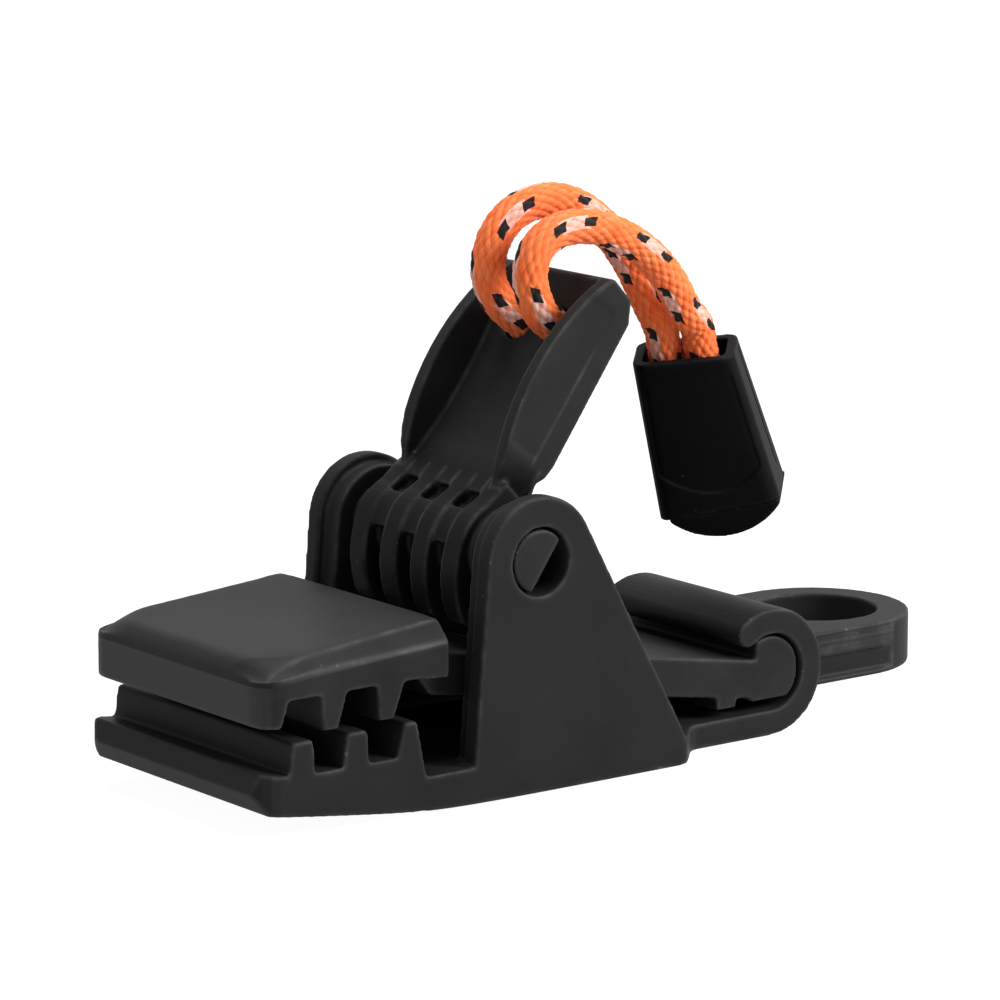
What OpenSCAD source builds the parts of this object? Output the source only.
// Cam-lever tarp clip with a pull cord, in millimetres.
// +X runs to the tail, +Y to the far side, +Z up. The clip stands on z = 0,
// and the origin lies under the middle of its length. Outlines are drawn in X and Z
// and extruded across the width.

/* [Overall] */
// Length from the nose to the end of the eye
clip_len = 91; // [90:0.5:100]
// Width across the jaws and the ears
body_w = 30; // [29:0.5:36]
// Width of the tail strip and its hook
tail_w = 22; // [21:0.5:23]
// Nose to the lever pivot
pivot_back = 33.2; // [33:0.1:34]
// Height of the lever pivot
pivot_h = 23; // [22.8:0.1:23.6]
// Axis of the tail hook to the end of the eye
hook_ahead = 25; // [24.5:0.1:25.4]
// Radius of the upright corners at the front of both jaws
corner_r = 2.4; // [1:0.2:3]

/* [Lower jaw] */
// Nose to the back of the ears
ear_back = 52.4; // [50.5:0.1:53]
// Nose to the foot of the ears' front edge
ear_front = 25; // [24.6:0.1:25.4]
// Height of the floor behind the teeth
floor_h = 3.8; // [3.4:0.1:4.2]
// Height of the ledge in front of the teeth
ledge_h = 6.8; // [6.4:0.1:7.1]
// Height of the nose's leading edge
nose_h = 4.8; // [4.2:0.1:5.4]
// Height of the underside of the nose
toe_h = 2.7; // [2:0.1:3.2]
// Length of the ramp under the nose
ramp_len = 19; // [14:1:22]
// Radius of the ears round the pivot
ear_r = 6.4; // [6:0.1:6.8]
// Thickness of the outer plate of each ear
ear_plate = 2; // [1.6:0.1:2.4]
// Step from the outer plate in to the inner layer of each ear
ear_step = 0.9; // [0.5:0.1:1.2]

/* [Teeth] */
// Nose to the first lower tooth
tooth_start = 3.4; // [3.3:0.1:3.5]
// Pitch of the lower teeth
tooth_pitch = 6.25; // [6.2:0.05:6.3]
// Width of a tooth at its root
tooth_root = 3.3; // [3.1:0.1:3.5]
// Width of a tooth at its tip
tooth_tip = 2.4; // [2:0.1:2.6]
// Height of the valleys between the lower teeth
valley_h = 6.2; // [5.8:0.1:6.3]
// Height of the tips of the lower teeth
tooth_top_h = 9.5; // [9:0.1:9.6]
// Height of the roots between the upper teeth
root_h = 13.6; // [13.5:0.1:14]
// Height of the tips of the upper teeth
upper_tip_h = 10.1; // [10:0.1:10.6]
// Height of the underside of the upper jaw's front lip
lip_h = 11; // [10.8:0.1:11.6]

/* [Upper jaw] */
// Set back of the upper jaw's front from the nose
jaw_set = 0.6; // [0.4:0.1:1]
// Length of the clamp plate
jaw_len = 21.6; // [21:0.1:21.8]
// Height of the plate's top at the front
top_front_h = 17; // [16.6:0.1:17.6]
// Height of the plate's top at the rear
top_rear_h = 18.8; // [18.4:0.1:19.2]
// Height of the bevel round the plate's top
bevel = 1.3; // [0.8:0.1:1.6]
// Thickness of the tongue under the cam
tongue_front_t = 4.4; // [4:0.1:4.8]
// Thickness of the tongue at the hook
tongue_tail_t = 4; // [3.6:0.1:4.2]
// Radius of the round end that turns in the hook
pin_r = 3.7; // [3.5:0.05:3.7]

/* [Tail] */
// Inner radius of the hook
hook_r = 4; // [4:0.05:4.2]
// Thickness of the hook and of the tail strip
hook_t = 2.6; // [2.4:0.1:2.8]
// Angle of the hook's lip above the axis, from the tail
lip_angle = 126; // [118:1:128]
// Outer diameter of the eye
eye_d = 19.4; // [18.8:0.2:20]
// Diameter of the hole in the eye
hole_d = 12.8; // [12:0.2:13.4]
// Thickness of the eye
eye_t = 5.5; // [5:0.1:5.8]
// Height of the top of the eye
eye_top_h = 9.4; // [9:0.1:9.6]

/* [Cam lever] */
// Width of the lever
lever_w = 17.6; // [17:0.1:18]
// Pivot to the tip of the lever
lever_len = 28.8; // [28.6:0.1:29.4]
// Lean of the lever from upright, towards the tail
lever_lean = 35.5; // [35:0.5:36]
// Diameter of the bores in the ears
bore_d = 6.8; // [6.4:0.1:7]
// Number of cam ribs
rib_count = 4; // [3:1:4]
// Thickness of a cam rib
rib_t = 2.6; // [2.2:0.1:2.8]
// Radius of the core between the ribs
core_r = 3.4; // [3.3:0.1:3.6]
// Thickness of each wing
wing_t = 1.7; // [1.4:0.1:2]
// Least thickness of the web in front of the pivot's line
web_t = 2.3; // [2:0.1:2.6]
// Pivot's line to the back edges of the lever
back_off = 0.8; // [0.6:0.05:1]
// Pivot's line to the front corners of the lever
front_off = 3.9; // [3.7:0.1:4.1]
// Height of the wings over the web at their middle
wing_bow = 2.8; // [2.4:0.1:3.2]
// Turn of the lever from here to locked, in degrees
lock_turn = 35; // [34:0.5:36]
// Radius of the cam's locking lobe
lobe_r = 11.4; // [11.3:0.1:11.5]

/* [Pull cord] */
// Diameter of the cord
cord_d = 3.6; // [3.5:0.05:3.65]
// Distance between the two cord holes
cord_gap = 6; // [5.8:0.1:6.2]
// Pivot to the cord holes
cord_hole_u = 22.9; // [22.7:0.1:23]
// Length of the cord end's sleeve
sleeve_len = 16.6; // [16:0.1:17.5]
// Width of the sleeve at its mouth
mouth_w = 10.4; // [10:0.1:10.8]
// Width of the sleeve at its lower end
sleeve_w = 12.6; // [12:0.1:13]
// Depth of the sleeve at its mouth
mouth_d = 6.6; // [6.4:0.1:6.8]
// Depth of the sleeve at its lower end
sleeve_d = 8; // [7.6:0.1:8.4]
// Slant of the sleeve's mouth, in degrees
mouth_slant = 6; // [3:0.5:7]
// Wall of the sleeve
sleeve_wall = 1; // [0.9:0.05:1.05]

/* [Fits] */
// Play of the trunnions in their bores, on the radius
trunnion_gap = 0.08; // [0.04:0.01:0.1]
// Gap between the tongue and the ears, each side
side_gap = 0.4; // [0.3:0.05:0.6]
// Gap between the cam and the tongue
cam_gap = 0.2; // [0.15:0.05:0.3]
// Gap at the ends of the lever's collars and trunnions
end_gap = 0.25; // [0.15:0.05:0.4]
// Play of the cord in its holes, on the radius
hole_gap = 0.25; // [0.15:0.05:0.3]

/* [Hidden] */
$fn = 48;
// Segments of a small rounding in an outline
arc_steps = 4;
// Segments of a long curve in an outline
bow_steps = 14;
// Overrun of every cut
over = 1;

nose_x = -clip_len / 2;
pivot_x = nose_x + pivot_back;
hook_x = clip_len / 2 - hook_ahead;
ear_back_x = nose_x + ear_back;
ear_front_x = nose_x + ear_front;
eye_x = clip_len / 2 - eye_d / 2;
half_w = body_w / 2;
hook_out = hook_r + hook_t;
hook_h = hook_out;
inner_w = tail_w - 2 * side_gap;

// Lower teeth: the slope of their flanks, and the roundings of tips and roots
flank = (tooth_root - tooth_tip) / 2;
tip_r = flank;
root_r = flank / 2;
tooth_count = 3;
ledge_back_h = valley_h + root_r;
nose_rake = hook_t / 4;
toe_rake = hook_t / 2;

// Upper jaw
jaw_x = nose_x + jaw_set;
jaw_rear_x = jaw_x + jaw_len;
part_front_h = top_front_h - bevel;
part_rear_h = top_rear_h - bevel * 1.6;
jaw_slope = atan((part_rear_h - part_front_h) / jaw_len);
lip_w = tooth_root - 2 * flank;
upper_1_x = nose_x + tooth_start + tooth_root + flank;
upper_2_x = upper_1_x + tooth_pitch + root_r;
upper_root = tooth_root - root_r;
upper_tip = tooth_tip - 2 * flank + root_r;

// Cam: its radius grows evenly with the turn of the lever
jaw_arm = hook_x - pivot_x;
jaw_close = 3.3;
cam_rise = jaw_arm * jaw_close * PI / 180 / lock_turn;
rest_angle = 180 + lever_lean;
rest_r = lobe_r - cam_rise * lock_turn;
open_turn = 25;
front_angle = rest_angle - 1.5 * open_turn;
front_r = rest_r - cam_rise * open_turn;
neck_angle = 85;
neck_r = rest_r * 0.54;

// Tongue: its top runs from the round pin past the cam, which it clears by its gap
tongue_end = [hook_x - pin_r / 3, hook_h + 3 * flank];
tongue_touch = touch(tongue_end, [pivot_x, pivot_h], rest_r + cam_gap, 1);
tongue_fall = (tongue_touch[1] - tongue_end[1]) / (tongue_end[0] - tongue_touch[0]);

// Lever, in its own frame: local X runs to its back, local Z to its tip
trunnion_r = bore_d / 2 - trunnion_gap;
collar_r = trunnion_r + flank * 1.5;
web_foot_u = lever_len * 0.14;
saddle_r = neck_r - flank * 0.6;
saddle_from = 66;
saddle_to = 115;

// Cord end, in its own frame: local X across its width, local Z up its axis
cord_r = cord_d / 2;
strand_play = 0.04;
strand_gap = cord_d + strand_play;
end_pos = [17.7, 0, 38.6];
end_tilt = -18.2;
end_twist = -46;
knot_r = mouth_d / 2 - sleeve_wall - hole_gap;
knot_drop = sleeve_len * 0.62;
plug_len = sleeve_len / 7;
cap_len = sleeve_len / 5.6;
crown_r = sleeve_w * 0.62;

// Routes of the two free strands, from the lever's front to the cord end's mouth
left_route = [[-3, 3, 44.6], [-4.4, 3, 46.2], [-5.1, 3, 48.6], [-4.3, 3, 51.6], [-2, 3, 53.9], [2, 3, 54.9],
    [6, 3, 54], [9.6, 2.8, 51.4], [12.4, 2.4, 47.8], [14.3, 1.9, 43.9], [15.7, 1.4, 40.8], [16.3, 1.4, 38.3]];
right_route = [[-3, -3, 44.6], [-3.9, -3, 46.2], [-4.5, -3, 48.6], [-3.7, -3, 51.1], [-1.3, -3, 52.7],
    [2.7, -3, 52.9], [6.8, -3, 51.6], [10.4, -3, 49.4], [13.5, -2.7, 46.4], [16, -2, 43.2],
    [18.1, -1.4, 41.2], [18.7, -1.3, 38.8]];
// Sine and cosine shares of the rings that round off the start of a strand
tip_share = [[0.98, 0.2], [0.8, 0.6], [0.5, 0.87]];
cord_sides = 8;

function unit(v) = v / norm(v);
function xz(p) = [p[0], p[1]];

// Points of an arc of radius r that rounds off the corner at b
function corner(a, b, c, r) =
    let (u = unit(a - b), v = unit(c - b), half = acos(u * v) / 2)
    let (p = b + u * r / tan(half), q = b + v * r / tan(half), m = b + unit(u + v) * r / sin(half))
    let (start = atan2(p[1] - m[1], p[0] - m[0]), end = atan2(q[1] - m[1], q[0] - m[0]))
    let (sweep = (end - start + 540) % 360 - 180)
    [for (i = [0:arc_steps]) let (t = start + sweep * i / arc_steps) m + r * [cos(t), sin(t)]];

// An outline whose corners [x, z, radius] are rounded off
function rounded(pts) =
    let (n = len(pts))
    [for (i = [0:n - 1])
        let (a = xz(pts[(i + n - 1) % n]), b = xz(pts[i]), c = xz(pts[(i + 1) % n]))
        each (pts[i][2] > 0 ? corner(a, b, c, pts[i][2]) : [b])];

// Points of a circular arc from a to b that stands off their chord by sag, to the left
function bow(a, b, sag) =
    let (d = b - a, half = norm(d) / 2, out = [-d[1], d[0]] / (2 * half))
    let (r = (half * half + sag * sag) / (2 * abs(sag)), m = (a + b) / 2 + out * (sag - sign(sag) * r))
    let (start = atan2(a[1] - m[1], a[0] - m[0]), end = atan2(b[1] - m[1], b[0] - m[0]))
    let (sweep = (end - start + 540) % 360 - 180)
    [for (i = [0:bow_steps]) let (t = start + sweep * i / bow_steps) m + r * [cos(t), sin(t)]];

// The point where a line from p touches a circle round m, on the left (1) or right (-1) of the way to m
function touch(p, m, r, side) =
    let (d = norm(m - p), t = atan2(m[1] - p[1], m[0] - p[0]) + side * asin(r / d))
    p + sqrt(d * d - r * r) * [cos(t), sin(t)];

// Rings of a tube round points [x, y, z] with radii, and its faces
function ring(p, dir, r) =
    let (n = unit(cross(dir, [0, 1, 0])), b = cross(n, unit(dir)))
    [for (i = [0:cord_sides - 1])
        let (t = -360 * (i + 0.5) / cord_sides) p + r * (cos(t) * n + sin(t) * b)];
function along(route, i) =
    let (last = len(route) - 1)
    unit(route[min(i + 1, last)] - route[max(i - 1, 0)]);
function tube_faces(rings) =
    let (s = cord_sides)
    [[for (i = [0:s - 1]) i], [for (i = [s - 1:-1:0]) (rings - 1) * s + i],
        for (k = [0:rings - 2]) for (i = [0:s - 1])
            let (j = (i + 1) % s) [k * s + i, (k + 1) * s + i, (k + 1) * s + j, k * s + j]];

// Cam radius at an angle from the lever's axis, round by the front
function spiral(a) = rest_r + cam_rise * (a - rest_angle);
function cam_r(a) =
    a > front_angle
        ? max(spiral(a), front_r)
        : neck_r + (front_r - neck_r) * pow((a - neck_angle) / (front_angle - neck_angle), 2.6);

// Extrudes an outline in X and Z across the width
module slab(points, width) {
    rotate([90, 0, 0]) linear_extrude(height = width, center = true) polygon(points);
}

// A cylinder along Y, centred
module cross_rod(r, width) {
    rotate([90, 0, 0]) cylinder(r = r, h = width, center = true);
}

module both_sides() {
    children();
    mirror([0, 1, 0]) children();
}

// Plan of a jaw with rounded upright corners, as tall as the clip
module plan(x0, x1, r0, r1) {
    linear_extrude(height = pivot_h + lever_len)
        polygon(rounded([[x0, -half_w, r0], [x1, -half_w, r1], [x1, half_w, r1], [x0, half_w, r0]]));
}

// Lower jaw

function lower_tooth(i) =
    let (x = nose_x + tooth_start + i * tooth_pitch)
    let (last = i == tooth_count - 1, back_h = last ? floor_h : valley_h, more = last ? flank : 0)
    [[x + tooth_root + more - root_r, back_h, root_r], [x + flank + tooth_tip - more, tooth_top_h, tip_r],
        [x + flank + more, tooth_top_h, tip_r], [x, valley_h, i == 0 ? 0 : root_r]];

module jaw_floor() {
    teeth = [for (i = [tooth_count - 1:-1:0]) each lower_tooth(i)];
    slab(rounded(concat(
        [[nose_x + nose_rake, ledge_h, root_r], [nose_x, nose_h, tip_r], [nose_x + toe_rake, toe_h, tip_r],
            [nose_x + ramp_len, 0, ramp_len / 4], [ear_back_x, 0, 0], [ear_back_x, hook_t, root_r]],
        [[ear_front_x, floor_h, root_r]],
        teeth, [[nose_x + tooth_start - root_r, ledge_back_h, root_r]])), body_w);
}

// Outline of an ear, drawn in by inset all round
module ear_shape(inset) {
    centre = [pivot_x, pivot_h];
    front = [ear_front_x + inset, floor_h / 2];
    back = [ear_back_x - inset, hook_t / 2];
    r = ear_r - inset;
    translate(centre) circle(r = r);
    polygon([front, touch(front, centre, r, 1), centre, touch(back, centre, r, -1), back]);
}

module ear_layer(inset, y0, y1) {
    translate([0, y1, 0]) rotate([90, 0, 0]) linear_extrude(height = y1 - y0) ear_shape(inset);
}

module ears() {
    both_sides() {
        ear_layer(0, half_w - ear_plate, half_w);
        ear_layer(ear_step, tail_w / 2, half_w - ear_plate);
    }
}

module tail_hook() {
    reach = hook_out * 2;
    mid = hook_r + hook_t / 2;
    difference() {
        translate([hook_x, 0, hook_h]) cross_rod(hook_out, tail_w);
        translate([hook_x, 0, hook_h]) cross_rod(hook_r, tail_w + over);
        translate([hook_x, 0, hook_h])
            slab([[0, 0], reach * [cos(lip_angle), sin(lip_angle)], [-reach, reach], [-reach, -reach],
                [0, -reach]], tail_w + over);
    }
    translate([hook_x + mid * cos(lip_angle), 0, hook_h + mid * sin(lip_angle)])
        cross_rod(hook_t / 2, tail_w);
    translate([ear_back_x - hook_t, -tail_w / 2, 0])
        cube([hook_x - ear_back_x + hook_t, tail_w, hook_t]);
}

// Foot that runs from each rear corner of the base into the side of the tail, in one soft bend
module tail_foot() {
    reach = half_w - tail_w / 2 - 2 * flank;
    both_sides() linear_extrude(height = hook_t) polygon(rounded([
        [ear_back_x - corner_r, half_w, 0], [ear_back_x - corner_r, -over, 0],
        [ear_back_x + 2 * reach, -over, 0], [ear_back_x + 2 * reach, tail_w / 2, 0],
        [ear_back_x + reach, tail_w / 2, corner_r], [ear_back_x - 2 * flank, half_w, corner_r]]));
}

// Eye plate, with a panel and two grooves sunk in the sides of its neck
module eye() {
    start = hook_x + hook_r + hook_t / 2;
    sink = hook_t / 5;
    groove = eye_t / 14;
    difference() {
        translate([0, 0, eye_top_h - eye_t]) union() {
            translate([eye_x, 0, 0]) cylinder(d = eye_d, h = eye_t);
            translate([start, -eye_d / 2, 0]) cube([eye_x - start, eye_d, eye_t]);
        }
        translate([eye_x, 0, eye_top_h - eye_t - over]) cylinder(d = hole_d, h = eye_t + 2 * over);
        both_sides() {
            for (drop_share = [0.19, 0.38])
                translate([start, eye_d / 2 - sink, eye_top_h - drop_share * eye_t])
                    cube([eye_x - start + eye_d / 8, sink + over, groove]);
            translate([start, eye_d / 2 - sink, eye_top_h - 0.9 * eye_t])
                cube([eye_x - start + eye_d / 8, sink + over, 0.42 * eye_t]);
        }
    }
}

module base_frame() {
    color([0.09, 0.09, 0.09]) difference() {
        union() {
            intersection() {
                union() {
                    jaw_floor();
                    ears();
                }
                plan(nose_x, ear_back_x, corner_r, corner_r * 0.6);
            }
            tail_hook();
            tail_foot();
            eye();
        }
        translate([pivot_x, 0, pivot_h]) cross_rod(bore_d / 2, body_w + over);
    }
}

// Upper jaw

module clamp_plate() {
    lip_x = jaw_x + lip_w;
    slab(rounded([
        [jaw_x, lip_h, tip_r], [jaw_x, part_front_h, root_r], [jaw_x + bevel, top_front_h, bevel],
        [jaw_rear_x, top_rear_h, tip_r], [jaw_rear_x, root_h - root_r * 2, root_r],
        [upper_2_x + upper_root + root_r, root_h, root_r],
        [upper_2_x + upper_tip + root_r, upper_tip_h, root_r], [upper_2_x + root_r, upper_tip_h, root_r],
        [upper_2_x, root_h, root_r],
        [upper_1_x + upper_root, root_h, root_r],
        [upper_1_x + upper_tip + root_r, upper_tip_h, root_r], [upper_1_x + root_r, upper_tip_h, root_r],
        [upper_1_x, root_h, root_r],
        [lip_x + flank, root_h, root_r], [lip_x - root_r, lip_h, root_r]]), body_w);
}

// Cuts the bevel along one side of the plate's top
module side_bevel() {
    size = bevel * 4;
    translate([jaw_x - over, half_w, part_front_h])
        rotate([0, -jaw_slope, 0]) rotate([-45, 0, 0])
            translate([0, -size / 2, 0]) cube([jaw_len + 3 * over, size, size]);
}

function tongue_top(x) = tongue_end[1] + tongue_fall * (tongue_end[0] - x);

module tongue() {
    start = jaw_rear_x - tooth_root / 2;
    low = jaw_rear_x + tooth_root / 4;
    low_h = tongue_top(low) - tongue_front_t;
    tail_h = tongue_end[1] - tongue_tail_t;
    slab([[low, tongue_top(low)], tongue_end, [hook_x, tongue_end[1]], [hook_x, tail_h], [tongue_end[0], tail_h],
        [low, low_h]], inner_w);
    slab([[start, root_h], [low, low_h], [low, tongue_top(low)], [start, (root_h + top_rear_h) / 2]], inner_w);
}

// Round end of the tongue: full towards the tail, cut upright above the tongue and flat under it
module pin() {
    difference() {
        translate([hook_x, 0, hook_h]) cross_rod(pin_r, inner_w);
        translate([hook_x - 2 * pin_r, -inner_w, hook_h]) cube([2 * pin_r - pin_r / 2, 2 * inner_w, 2 * pin_r]);
        translate([hook_x - 2 * pin_r, -inner_w, hook_h - 2 * pin_r])
            cube([4 * pin_r, 2 * inner_w, tongue_end[1] - tongue_tail_t - hook_h + 2 * pin_r - root_r]);
    }
}

module stop_nub() {
    translate([hook_x - pin_r - 1.25 * hook_t, -inner_w / 2, hook_t + 2 * flank])
        cube([hook_t, inner_w, hook_t * 0.8]);
}

module upper_jaw() {
    color([0.11, 0.11, 0.11]) {
        intersection() {
            difference() {
                clamp_plate();
                both_sides() side_bevel();
            }
            plan(jaw_x, jaw_rear_x, corner_r, tip_r);
        }
        tongue();
        pin();
        stop_nub();
    }
}

// Cam lever

module in_lever_frame() {
    translate([pivot_x, 0, pivot_h]) rotate([0, lever_lean, 0]) children();
}

module cam_rib() {
    lobe_angle = rest_angle + lock_turn;
    step = (lobe_angle - neck_angle) / (2 * bow_steps);
    curve = [for (i = [0:2 * bow_steps]) let (a = neck_angle + i * step) cam_r(a) * [-sin(a), cos(a)]];
    heel = lobe_r * [[0.52, 0.07], [0.3, 0.3]];
    neck = [for (a = [neck_angle - 27, neck_angle - 18, neck_angle - 9]) neck_r * [-sin(a), cos(a)]];
    root = [[-front_off + flank, web_foot_u + 4 * flank], [-front_off, web_foot_u + flank / 2]];
    slab(concat(root, neck, curve, heel, [[back_off, web_foot_u + 2 * tip_r]]), rib_t);
}

module cam_ribs() {
    pitch = (lever_w - rib_t) / (rib_count - 1);
    for (i = [0:rib_count - 1])
        translate([0, (i - (rib_count - 1) / 2) * pitch, 0]) cam_rib();
}

// Saddle between the ribs, from the openings under the web round to the front
module saddle() {
    step = (saddle_to - saddle_from) / bow_steps;
    curve = [for (i = [0:bow_steps]) let (a = saddle_from + i * step) saddle_r * [-sin(a), cos(a)]];
    slab(concat([[0, 0]], curve), lever_w);
}

function lever_tip() = [[-front_off + flank, lever_len], [-back_off / 2, lever_len - flank * 1.5],
    [back_off, lever_len - 3.5 * back_off]];

module web() {
    foot = [-front_off, web_foot_u];
    crest = [-front_off, lever_len - flank];
    recess_u = lever_len - 4 * back_off;
    slab(concat([[back_off, 0], [-core_r * 0.8, 0], [-core_r * 0.8, web_foot_u]],
        bow(foot, crest, web_t - front_off), lever_tip(),
        [[back_off, recess_u], [0, recess_u - back_off], [0, web_foot_u + 3 * back_off], [back_off, web_foot_u + 2 * back_off]]),
        lever_w);
}

module wings() {
    foot = [-front_off, web_foot_u + 2 * tip_r];
    crest = [-front_off, lever_len - flank];
    both_sides() translate([0, (lever_w - wing_t) / 2, 0])
        slab(concat([[back_off, web_foot_u + 2.9 * wing_t], [back_off * 0.7, web_foot_u + 2.4 * wing_t],
            [0, web_foot_u + 2.1 * wing_t], [-back_off, web_foot_u]],
            bow(foot, crest, wing_bow), lever_tip()), wing_t);
}

// Bevel at the foot of each wing, down to the outer rib
module wing_foot() {
    low = web_foot_u + 2 * tip_r;
    high = web_foot_u + 2.6 * wing_t;
    out = lever_w / 2;
    both_sides() translate([-front_off * 1.5, 0, 0]) rotate([90, 0, 90]) linear_extrude(height = front_off * 1.38)
        polygon([[out, high], [out + over, high], [out + over, low], [out - wing_t * 0.65, low]]);
}

module trunnions() {
    collar_w = tail_w - 2 * end_gap;
    shaft_w = body_w - 2 * end_gap;
    difference() {
        union() {
            cross_rod(core_r, lever_w);
            cross_rod(collar_r, collar_w);
            cross_rod(trunnion_r, shaft_w);
        }
        both_sides() translate([core_r * 0.25, shaft_w / 2, -2 * core_r])
            rotate([0, 0, -50]) cube([4 * core_r, 2 * core_r, 4 * core_r]);
    }
}

module cord_holes() {
    both_sides() translate([-front_off - over, cord_gap / 2, cord_hole_u])
        rotate([0, 90, 0]) cylinder(r = cord_r + hole_gap, h = front_off + back_off + 2 * over);
}

module cam_lever() {
    color([0.1, 0.1, 0.1]) in_lever_frame() {
        difference() {
            union() {
                web();
                wings();
            }
            wing_foot();
            cord_holes();
        }
        cam_ribs();
        saddle();
        trunnions();
    }
}

// Pull cord

module tube(route, radii) {
    rings = len(route);
    polyhedron(points = [for (i = [0:rings - 1]) each ring(route[i], along(route, i), radii[i])],
        faces = tube_faces(rings));
}

// A free strand: rounded off at the lever, and run down inside the cord end to the knot
module strand(route) {
    dir = unit(route[1] - route[0]);
    down = [sin(-end_tilt), 0, -cos(end_tilt)];
    last = route[len(route) - 1];
    start = [for (s = tip_share) route[0] - cord_r * s[0] * dir];
    start_r = [for (s = tip_share) cord_r * s[1]];
    tube(concat(start, route, [last + (knot_drop - knot_r * 0.8) * down]),
        concat(start_r, [for (i = [0:len(route)]) cord_r]));
}

module pull_cord_left() {
    color([0.95, 0.42, 0.15]) strand(left_route);
}

module pull_cord_right() {
    color([0.95, 0.42, 0.15]) strand(right_route);
}

// The cord's bight behind the web, between its two holes
module pull_cord_bight() {
    depth = cord_gap * 0.43;
    bend = [for (i = [0:8]) let (t = 180 * i / 8) [depth * sin(t), -cord_gap / 2 * cos(t), 0]];
    path = concat([[-web_t - cord_r / 3, -cord_gap / 2, 0]], bend, [[-web_t - cord_r / 3, cord_gap / 2, 0]]);
    color([0.95, 0.42, 0.15]) in_lever_frame() translate([0, 0, cord_hole_u])
        flat_tube(path);
}

// A tube whose route lies level in its own frame
module flat_tube(route) {
    rings = len(route);
    polyhedron(points = [for (i = [0:rings - 1])
            let (dir = along(route, i), side = cross(dir, [0, 0, 1]))
            for (k = [0:cord_sides - 1])
                let (t = -360 * (k + 0.5) / cord_sides) route[i] + cord_r * (cos(t) * side + sin(t) * [0, 0, 1])],
        faces = tube_faces(rings));
}

// Cord end

module in_end_frame() {
    translate(end_pos) rotate([0, end_tilt, 0]) rotate([0, 0, end_twist]) children();
}

// The cord end's flat tapered form with round corners, drawn in by inset all round, between two heights
module taper(inset, r, z0, z1) {
    spread = [sleeve_w - mouth_w, sleeve_d - mouth_d] / sleeve_len;
    hull() for (z = [z0, z1]) {
        half = ([mouth_w, mouth_d] - spread * z) / 2 - [inset, inset];
        translate([0, 0, z]) linear_extrude(height = over / 100)
            polygon(rounded([[-half[0], -half[1], r], [half[0], -half[1], r], [half[0], half[1], r],
                [-half[0], half[1], r]]));
    }
}

module cord_end_sleeve() {
    color([0.07, 0.07, 0.07]) in_end_frame() difference() {
        taper(0, sleeve_wall * 1.3, over / 2, -sleeve_len);
        taper(sleeve_wall, sleeve_wall / 2, over, -sleeve_len - over);
        rotate([0, mouth_slant, 0]) translate([-sleeve_w, -sleeve_d, 0]) cube([2 * sleeve_w, 2 * sleeve_d, 2 * over]);
    }
}

module cord_knot() {
    reach = strand_gap / 2;
    color([0.9, 0.4, 0.15]) in_end_frame() translate([0, 0, -knot_drop]) {
        rotate([0, 90, 0]) cylinder(r = knot_r, h = 2 * reach, center = true);
        for (side = [-1, 1])
            translate([side * reach, 0, 0]) sphere(r = knot_r);
    }
}

module cord_end_cap() {
    plug_w = sleeve_w - 2 * sleeve_wall - 3 * hole_gap;
    plug_d = sleeve_d - 2 * sleeve_wall - 2 * hole_gap;
    color([0.06, 0.06, 0.06]) in_end_frame() translate([0, 0, -sleeve_len - strand_play / 4]) {
        translate([-plug_w / 2, -plug_d / 2, 0]) cube([plug_w, plug_d, plug_len]);
        intersection() {
            translate([-sleeve_w / 2 + sleeve_wall, -sleeve_d / 2 + sleeve_wall / 4, -cap_len])
                cube([sleeve_w - sleeve_wall, sleeve_d - sleeve_wall / 2, cap_len]);
            translate([sleeve_wall / 2, 0, crown_r - cap_len]) cross_rod(crown_r, sleeve_d);
        }
    }
}

base_frame();
upper_jaw();
cam_lever();
pull_cord_left();
pull_cord_right();
pull_cord_bight();
cord_knot();
cord_end_sleeve();
cord_end_cap();
